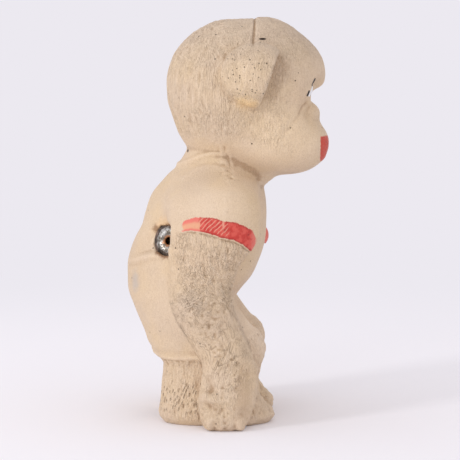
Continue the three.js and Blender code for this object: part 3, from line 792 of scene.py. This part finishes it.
rubberLook = dict(
    cream=tone(217, 194, 167), yellow=tone(218, 193, 159), grey=tone(204, 184, 164), underFur=tone(236, 208, 175),
    warm=tone(242, 216, 181), groove=tone(157, 124, 92), lightened=tone(236, 214, 190), hole=tone(52, 38, 28),
    redDark=tone(150, 42, 36), red=tone(196, 62, 54), redLight=tone(214, 88, 76), bare=tone(232, 164, 140),
    faded=tone(226, 122, 108), fadedYellow=tone(226, 168, 132), lip=tone(198, 78, 62),
    white=tone(238, 238, 240), black=tone(34, 28, 30), rust=tone(120, 74, 36), amber=tone(226, 180, 118),
    earYellow=tone(250, 214, 160), blueGrey=tone(178, 174, 174),
    # Tinted spots: centre, inner and outer radius, amount, tone.
    tints=[
        ((-30, -34, 158), 6, 32, 0.8, "warm"), ((-50, -9, 188), 3, 17, 0.35, "warm"),
        ((-24, -17, 47), 5, 20, 0.75, "lightened"), ((-18, 50, 84), 5, 22, 0.12, "groove"),
        # The spot at (-56, 8, 60) is painted shade on the forearm at the elbow.
        ((-56, 8, 60), 3, 15, 0.12, "groove"), ((-52, 20, 67), 2, 10, 0.4, "lightened"),
        ((-54, 0, 24), 3, 14, 0.35, "lightened"), ((-14, -6, 216), 5, 26, 0.35, "lightened"),
    ],
    # Deep marks by the crown, at the nape and between the fingertips: centre, radii, stretch.
    cuts=[
        ((-23.2, -18.7, 208.6), 0.5, 0.8, (0.3, 0.34, 1.2)), ((-8, 22.1, 147.2), 0.4, 1, (0.4, 1, 1)),
        ((-54, 6.3, 4.6), 0.2, 0.6, (0.2, 1, 1)), ((-54, 3.6, 4), 0.2, 0.6, (0.2, 1, 1)),
    ],
    # Stains with a wandering edge: centre, radii, stretch, amount, tone.
    stains=[
        ((-41.5, -9.5, 173.6), 2, 8.5, (0.8, 0.85, 1.3), 0.8, "earYellow"),
        ((-21, 51, 76.5), 1, 6, (0.8, 1, 0.7), 0.5, "blueGrey"),
        ((-23.6, 39.2, 106.2), 0.8, 3.4, (1, 1, 1), 0.65, "rust"),
    ],
    pitted=((-42, -9, 190), 8, 19, (1, 1, 0.8)),
    # Painted shade on the front of the fist, turned from the light: centre, radii, stretch.
    knuckles=((-54, -8, 22), 2, 8, (0.3, 1.3, 0.32)),
    pupil=((-2.2, -0.1, 1), 1.8, 2.2, (1, 1, 0)),
    # Half lengths of the eye's oval, and the height of the lips' middle.
    eyeHalf=(6, 3.5), lipHeight=148.4,
)


# Effects that the rubber and the metal share, each built once as a group.
def newGroup(name, inputs, outputs):
    tree = bpy.data.node_groups.new(name, "ShaderNodeTree")
    for way, sockets in (("INPUT", inputs), ("OUTPUT", outputs)):
        for label, kind in sockets.items():
            tree.interface.new_socket(label, in_out=way, socket_type="NodeSocket" + kind)
    given = outputsOf(tree.nodes.new("NodeGroupInput"))
    return tree, given, tree.nodes.new("NodeGroupOutput").inputs


def makePatches():
    # Noise of the given scale, stepped softly between low and high, times the amount.
    tree, given, out = newGroup(
        "patches", dict(Place="Vector", Scale="Float", Detail="Float", Low="Float", High="Float", Amount="Float"),
        dict(Mask="Float"))
    noise = noiseOf(given["Place"], given["Scale"], given["Detail"])
    feed(ranged(noise, given["Low"], given["High"]) * given["Amount"], out["Mask"])
    return tree


def makeSpot():
    # 1 within the inner radius round the centre, fading to 0 at the outer one.
    tree, given, out = newGroup(
        "spot", dict(Place="Vector", Centre="Vector", Stretch="Vector", Inner="Float", Outer="Float"),
        dict(Mask="Float"))
    offset = stretched(vectorCalc("SUBTRACT", given["Place"], given["Centre"]), given["Stretch"])
    feed(ranged(vectorCalc("LENGTH", offset), given["Outer"], given["Inner"]), out["Mask"])
    return tree


def makeSeatRings():
    # Distance from the squeaker's axis, distance along it, and height above it, in millimetres.
    tree, given, out = newGroup(
        "seat_rings", dict(Place="Vector"), dict(Radius="Float", Depth="Float", Upward="Float"))
    offset = vectorCalc("SUBTRACT", given["Place"], seat["at"])
    feed(vectorCalc("LENGTH", vectorCalc("CROSS_PRODUCT", offset, seat["out"])), out["Radius"])
    feed(vectorCalc("DOT_PRODUCT", offset, seat["out"]), out["Depth"])
    feed(vectorCalc("DOT_PRODUCT", offset, seat["up"]), out["Upward"])
    return tree


shared = dict(patches=makePatches(), spot=makeSpot(), rings=makeSeatRings())


def placed(group, **values):
    # One use of a shared group, with a value for each of its named inputs.
    return outputsOf(newNode("Group", values, node_tree=shared[group]))


def patches(place, scale, detail, low, high, amount=1):
    return placed("patches", Place=place, Scale=scale, Detail=detail, Low=low, High=high, Amount=amount)["Mask"]


def spot(place, centre, inner, outer, stretch=(1, 1, 1)):
    return placed("spot", Place=place, Centre=centre, Stretch=stretch, Inner=inner, Outer=outer)["Mask"]


def pinholes(place, scale, inner, outer, low, high):
    # Round dots of the cells whose random number is high enough.
    cells = cellsOf(place, scale)
    return ranged(cells["Distance"], outer, inner) * ranged(splitUp(cells["Color"])[0], low, high)


def rubberMaterial():
    look = rubberLook
    made, tree, shader = material("aged_rubber", 0.62)
    shader.inputs["Specular IOR Level"].default_value = 0.32
    place = millimetres(tree)
    x, y, z = splitUp(place)
    fur = attributeOf(tree, "fur", "Vector")
    furry = attributeOf(tree, "furry")
    eyePlace = attributeOf(tree, "eye", "Vector")
    eyeX, eyeZ, eyeOn = splitUp(eyePlace)
    near, wide, past = splitUp(attributeOf(tree, "crease", "Vector"))
    headness, armness, legness = splitUp(attributeOf(tree, "limb", "Vector"))
    sleeveY, across, sleeveOn = splitUp(attributeOf(tree, "sleeve", "Vector"))

    # Tone of the rubber: broad yellow and grey clouds, paler under the fur, painted shade in the hollows.
    color = mixed(patches(place, 0.035, 3, 0.36, 0.7), look["cream"], look["yellow"])

    def tint(amount, toneName):
        nonlocal color
        color = mixed(amount, color, look[toneName])

    cloud = patches(vectorCalc("ADD", place, (61, 17, 5)), 0.05, 4, 0.46, 0.68, 0.34)
    tint(larger(cloud, headness * ranged(z, 188, 212) * 0.6), "grey")
    raised = armness * ranged(z, 66, 84, 0.2, 1) + legness * 0.55
    tint(raised * furry * 0.6, "underFur")
    for centre, inner, outer, amount, toneName in look["tints"]:
        tint(spot(place, centre, inner, outer) * amount, toneName)
    tint(armness * furry * ranged(z, 72, 62, 0, 0.04), "groove")
    strokes = noiseOf(stretched(fur, (1, 1, 0.26)), 0.85, 3)
    fine = noiseOf(stretched(fur, (1, 1, 0.4)), 1.7, 2)
    grain = noiseOf(place, 1.3, 4)
    tint(ranged(strokes, 0.46, 0.3) * furry * 0.1, "groove")
    # Painted shade in small and wide hollows, and a paler tone on raised points.
    tint(ranged(near, 0.015, 0.2, 0, 0.6), "groove")
    tint(ranged(near, -0.01, -0.14, 0, 0.3), "lightened")
    tint(ranged(wide, 0.2, 1.4, 0, 0.5), "groove")
    tint(ranged(grain, 0.34, 0.64, 0.16, 0), "groove")

    # Painted shade on the strip in front of the ear and a painted highlight on the shoulder, then fine
    # streaks and grain, lighter on the crests and darker between them.
    tint(attributeOf(tree, "lee") * 0.3, "groove")
    tint(spot(place, (-51, 6, 124), 3, 22) * 0.4, "lightened")
    thin = noiseOf(stretched(fur, (1, 1, 0.2)), 1.15, 2)
    tint(ranged(thin, 0.5, 0.3) * (furry * 0.16 + 0.07), "groove")
    tint(ranged(thin, 0.52, 0.7) * (furry * 0.4 + 0.1), "lightened")
    sand = noiseOf(place, 2.1, 2)
    tint(ranged(sand, 0.47, 0.3, 0, 0.2), "groove")
    tint(ranged(sand, 0.53, 0.7, 0, 0.24), "lightened")

    # Wormy grooves of the modelled fur on head and arms, and rows of short dashes above the heels.
    wavy = noiseOf(stretched(fur, (1, 1, 0.5)), 0.62, 1)
    worm = ranged(abs(wavy - 0.5), 0.05, 0.012) * patches(place, 0.16, 2, 0.4, 0.55)
    worm = worm * furry * larger(headness, armness)
    forearm = armness * ranged(z, 76, 64) * ranged(z, 20, 34)
    tint(worm * (forearm * 0.24 + 0.16), "groove")
    slanted = vectorCalc("ADD", stretched(place, (0.3, 1, 0.36)), stretched(z, (0, 0.22, 0)))
    heel = ranged(z, 5.5, 8.5) * ranged(z, 26, 21) * legness * ranged(y, 10, 16)
    dash = ranged(cellsOf(slanted, 0.88)["Distance"], 0.38, 0.22) * heel
    tint(dash * 0.42, "groove")

    # Pinholes, the mould line's notch at the crown, and cuts in their own places.
    dots = pinholes(place, 0.2, 0.05, 0.11, 0.72, 0.78)
    pits = pinholes(place, 0.55, 0.14, 0.24, 0.4, 0.45) * spot(place, *look["pitted"])
    dots = larger(dots, pits)
    cuts = larger(*(spot(place, *cut) for cut in look["cuts"]))
    # Painted shade on the front of the fist.
    tint(spot(place, *look["knuckles"]) * 0.3, "groove")
    crown = ranged(abs(past), 0.9, 0.15) * ranged(z, 205, 208)
    tint(crown * 0.3, "groove")
    tint(dots * 0.7, "hole")
    tint(cuts, "hole")
    shake = vectorCalc("SUBTRACT", noiseOf(place, 0.35, 2, "Color"), (0.5, 0.5, 0.5))
    wobble = vectorCalc("ADD", place, stretched(shake, (5, 5, 5)))

    # Rust round the squeaker under an amber halo, then the stains.
    rings = placed("rings", Place=wobble)
    inReach = ranged(abs(rings["Depth"]), 13, 9) * ranged(armness, 0.7, 0.2)
    halo = ranged(rings["Radius"], 15, 9) * inReach * ranged(rings["Upward"], 1, 7)
    tint(halo * 0.45, "amber")
    tint(ranged(rings["Radius"], 10.4, 8.4) * inReach * 0.8, "rust")
    for centre, inner, outer, stretch, amount, toneName in look["stains"]:
        tint(spot(wobble, centre, inner, outer, stretch) * amount, toneName)

    # Painted sleeve hem: solid in front, scratched in the middle, faded behind.
    ragged = unsteady(across, place, 0.9, 3, 0.16)
    wander = unsteady(sleeveY, place, 0.5, 2, 3.5)
    ends = ranged(x, -1, 1) * 15 + wander
    band = ranged(ragged, 0, 0.05) * ranged(ragged, 1, 0.95) * ranged(sleeveOn, 0.35, 0.55)
    band = band * ranged(wander, 24.6, 23.8) * ranged(ends, -15.4, -14.4)
    paint = mixed(patches(place, 0.4, 4, 0.42, 0.6), look["red"], look["redLight"])
    rim = larger(ranged(across, 0.16, 0.06), ranged(across, 0.86, 0.95))
    paint = mixed(rim * 0.45, paint, look["redDark"])
    slant = (y + z) * 2.34 + noiseOf(place, 0.28, 3) * 6
    scratch = ranged(calc("SINE", slant), 0.25, 0.9) * ranged(sand, 0.34, 0.5, 0.5, 1)
    middle = ranged(wander, -1.5, 1) * ranged(wander, 16.5, 15)
    inside = ranged(ragged, 0.1, 0.25) * ranged(ragged, 0.98, 0.85)
    scratch = scratch * middle * inside
    paint = mixed(scratch * 0.8, paint, look["bare"])
    yellowed = ranged(ragged, 0.1, 0.3) * ranged(ragged, 0.78, 0.5)
    paint = mixed(ranged(wander, 14.6, 15.6) * 0.92, paint, mixed(yellowed, look["faded"], look["fadedYellow"]))
    paint = mixed(ranged(wander, -11.5, -13.5) * 0.75, paint, look["faded"])
    notch = ranged(abs(y - 2.4), 0.8, 0.25) * ranged(ragged, 0.35, 0.8)
    paint = mixed(notch * 0.8, paint, look["bare"])
    color = mixed(band, color, paint)

    # Lips: red all round the front of the muzzle, thinned by wear in the middle.
    edge = unsteady(y, place, 0.6, 2, 0.8)
    lips = ranged(edge, -50.2, -50.6) * ranged(abs(z - look["lipHeight"]), 7.4, 6.4)
    lightened = ranged(abs(x), 8, 2) * ranged(grain, 0.44, 0.56)
    tint(lips * (lightened * -0.5 + 1), "lip")

    # Eyes: white with a dark outline and pupil.
    halfX, halfZ = look["eyeHalf"]
    rimmed = ((eyeX / halfX) ** 2 + (eyeZ / halfZ) ** 2) ** 0.5
    white = ranged(rimmed, 1.06, 0.96) * eyeOn
    line = ranged(abs(rimmed - 1), 0.13, 0.06) * eyeOn * ranged(eyeX, 1.5, 0.5)
    lash = ranged(attributeOf(tree, "lash"), 0.62, 0.34) * headness
    tint(white, "white")
    tint(larger(line, lash, spot(eyePlace, *look["pupil"]) * eyeOn), "black")
    feed(color, shader.inputs["Base Color"])
    painted = larger(band, white, lips)
    feed(ranged(grain, 0.3, 0.7, 0.56, 0.7) - painted * 0.12, shader.inputs["Roughness"])

    # Relief too fine for the mesh, in millimetres.
    height = (strokes - 0.5) * (furry * 1.3 + 0.2) + (fine - 0.5) * (furry * 0.9 + 0.15) + grain * 0.36
    height = height - worm * (forearm * 0.36 + 0.34) - dash * 0.8
    height = height - larger(dots, cuts) * 0.6 - crown * 0.4 - scratch * band * 0.12
    bumped(shader, height)
    return made


plate = dict(
    # Radius and depth behind the seat's origin, from the sound hole out to the rolled rim and back.
    profile=[(1.9, 2.3), (2.1, 1.95), (2.6, 1.62), (3.4, 1.24), (4.2, 0.98), (5, 0.9), (5.8, 1.02), (6.6, 1.36),
             (7.4, 1.9), (8.2, 2.5), (8.9, 2.5), (9.4, 2.62), (9.6, 3), (9.6, 4.1), (9.5, 4.42), (9.2, 4.55),
             (8.9, 4.42), (8.85, 3.9), (8.8, 2.95), (8.1, 2.8), (7.2, 2.2), (6.4, 1.64), (5, 1.22),
             (3.6, 1.46), (2.6, 1.92), (2, 2.55)],
    sides=128, dents=0.05,
)


def makePlate():
    # Turned disc: each profile point goes round the seat's axis, and shallow dents press it in.
    angles = np.arange(plate["sides"]) * 2 * math.pi / plate["sides"]
    radius, depth = np.array(plate["profile"]).T
    ring = len(radius)
    forward, up, out = (np.array(seat[name]) for name in ("forward", "up", "out"))
    spread = radius[None, :, None] * (np.cos(angles)[:, None, None] * forward + np.sin(angles)[:, None, None] * up)
    points = (np.array(seat["at"]) + spread - depth[None, :, None] * out).reshape(-1, 3)
    face = np.tile(smoothStep(2.6, 1.2, depth) * (radius > 2.2), plate["sides"])
    points -= (plate["dents"] * (1 + speckle(points, 2.2, 8)) * face)[:, None] * out
    side, step = np.meshgrid(np.arange(plate["sides"]), np.arange(ring), indexing="ij")
    nextSide, nextStep = (side + 1) % plate["sides"], (step + 1) % ring
    faces = [side * ring + step, side * ring + nextStep, nextSide * ring + nextStep, nextSide * ring + step]
    return makeMesh("squeaker_plate", points, np.stack(faces, -1).reshape(-1, 4))


metalLook = dict(
    steel=tone(196, 194, 188), dull=tone(120, 112, 100), amber=tone(176, 116, 62), rust=tone(96, 56, 26),
    crust=tone(46, 30, 20), brass=tone(176, 138, 72), brassDark=tone(92, 66, 34),
)


def metalMaterial(name, bright, dull, rustShare):
    # Plated metal that has tarnished: clean patches, an amber bloom, and rough rust near the edges.
    look = metalLook
    made, tree, shader = material(name, 0.35, 1)
    place = millimetres(tree)
    specks = noiseOf(place, 1.3, 3)
    radius = unsteady(placed("rings", Place=place)["Radius"], place, 0.42, 4, 5)
    rusty = larger(ranged(radius, 6.9, 8) * rustShare, patches(place, 1.3, 3, 0.56, 0.66, 0.7))
    color = mixed(patches(place, 0.42, 4, 0.42, 0.62), look[bright], look[dull])
    color = mixed(ranged(radius, 3.8, 2.4) * rustShare, color, look["amber"])
    crust = mixed(patches(place, 0.42, 4, 0.4, 0.6), look["rust"], look["crust"])
    feed(mixed(rusty, color, crust), shader.inputs["Base Color"])
    feed(rusty * -0.9 + 1, shader.inputs["Metallic"])
    feed(ranged(specks, 0.3, 0.7, 0.24, 0.42) + rusty * 0.4, shader.inputs["Roughness"])
    bumped(shader, specks * 0.12 + rusty * 0.08)
    return made


skin = makeSkin()
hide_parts("rubber_body")
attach(skin, "figure")
skin.data.materials.append(rubberMaterial())
print("skin", len(skin.data.polygons), "faces")

front = makePlate()
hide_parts("squeaker_front_plate")
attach(front, "figure")
tarnished = metalMaterial("tarnished_plate", "steel", "dull", 0.85)
brass = metalMaterial("dulled_brass", "brass", "brassDark", 0.15)
front.data.materials.append(tarnished)
looks = dict(squeaker_rear_cup=tarnished, reed_clamp=tarnished, front_rivet=tarnished, back_rivet=tarnished,
             reed_plate=brass, reed=brass)
for node, look in looks.items():
    obj = bpy.data.objects[node]
    obj.data.materials.clear()
    obj.data.materials.append(look)
print("squeaker", len(front.data.polygons), "faces")

view = dict(distance=1250, elevation=6, aim=(0, -0.6, 112), aimPixel=(229, 213), pixels=460, focal=2260.4)


def makeCamera():
    # Camera on the figure's right, a little above it, turned so that the aim falls on its pixel.
    e = math.radians(view["elevation"])
    aim = Vector(view["aim"])
    place = aim + view["distance"] * Vector((-math.cos(e), 0, math.sin(e)))
    ahead = (aim - place).normalized()
    right = ahead.cross(Vector((0, 0, 1))).normalized()
    up = right.cross(ahead)
    middle = view["pixels"] / 2
    sideways, downwards = middle - view["aimPixel"][0], middle - view["aimPixel"][1]
    ahead = (ahead * view["focal"] + right * sideways - up * downwards).normalized()
    camera = bpy.data.cameras.new("camera")
    camera.sensor_width = 36
    camera.lens = 36 * view["focal"] / view["pixels"]
    camera.clip_end = 20
    obj = addObject("camera", camera)
    obj.location = place / 1000
    obj.rotation_euler = ahead.to_track_quat("-Z", "Y").to_euler()
    bpy.context.scene.camera = obj


makeCamera()

studio = dict(
    lights=dict(
        key=dict(place=(-1.2, 1.7, 0.85), size=0.45, power=13),
        side=dict(place=(-1.8, 0.7, 0.8), size=0.8, power=3),
    ),
    ambient=0.9, backdrop=tone(236, 233, 240), floor=tone(243, 241, 246), fadeStart=0.22, fadeEnd=0.6,
)


def makeLight(name, place, size, power):
    light = bpy.data.lights.new(name, "AREA")
    light.shape = "DISK"
    light.size = size
    light.energy = power
    obj = addObject(name, light)
    obj.location = place
    obj.rotation_euler = (Vector((0, 0, 0.1)) - Vector(place)).to_track_quat("-Z", "Y").to_euler()


def seenAsBackdrop(tree):
    # 1 for the camera's rays and for those that metal or glass sends on, so both meet the pale backdrop.
    path = outputsOf(tree.nodes.new("ShaderNodeLightPath"))
    return larger(path["Is Camera Ray"], path["Is Glossy Ray"], path["Is Transmission Ray"])


def makeStage():
    # One wide floor. Away from the figure, the camera sees it glow in the background's own colour.
    points = np.array([(-4, -5, 0), (9, -5, 0), (9, 5, 0), (-4, 5, 0)]) * 1000
    floor = makeMesh("floor", points, np.array([(0, 1, 2, 3)]))
    made, tree, shader = material("floor_paper", 0.9)
    shader.inputs["Specular IOR Level"].default_value = 0
    shader.inputs["Emission Strength"].default_value = 1
    away = ranged(vectorCalc("LENGTH", placeIn(tree)), studio["fadeStart"], studio["fadeEnd"])
    away = away * seenAsBackdrop(tree)
    dark = (0, 0, 0, 1)
    feed(mixed(away, studio["floor"], dark), shader.inputs["Base Color"])
    feed(mixed(away, dark, studio["backdrop"]), shader.inputs["Emission Color"])
    floor.data.materials.append(made)


def makeWorld():
    # The room's soft light, with the backdrop's colour behind the figure.
    world = bpy.data.worlds.new("room")
    bpy.context.scene.world = world
    world.use_nodes = True
    tree = world.node_tree
    room = tree.nodes["Background"]
    room.inputs["Color"].default_value = (1, 0.98, 1, 1)
    room.inputs["Strength"].default_value = studio["ambient"]
    seen = tree.nodes.new("ShaderNodeBackground")
    seen.inputs["Color"].default_value = studio["backdrop"]
    pick = newNode("MixShader", {0: seenAsBackdrop(tree), 1: Signal(room.outputs[0]), 2: Signal(seen.outputs[0])})
    feed(Signal(pick.outputs[0]), tree.nodes["World Output"].inputs["Surface"])


makeStage()
for name, light in studio["lights"].items():
    makeLight(name, **light)
makeWorld()
bpy.context.scene.view_settings.view_transform = "Standard"
print("stage and lights done")
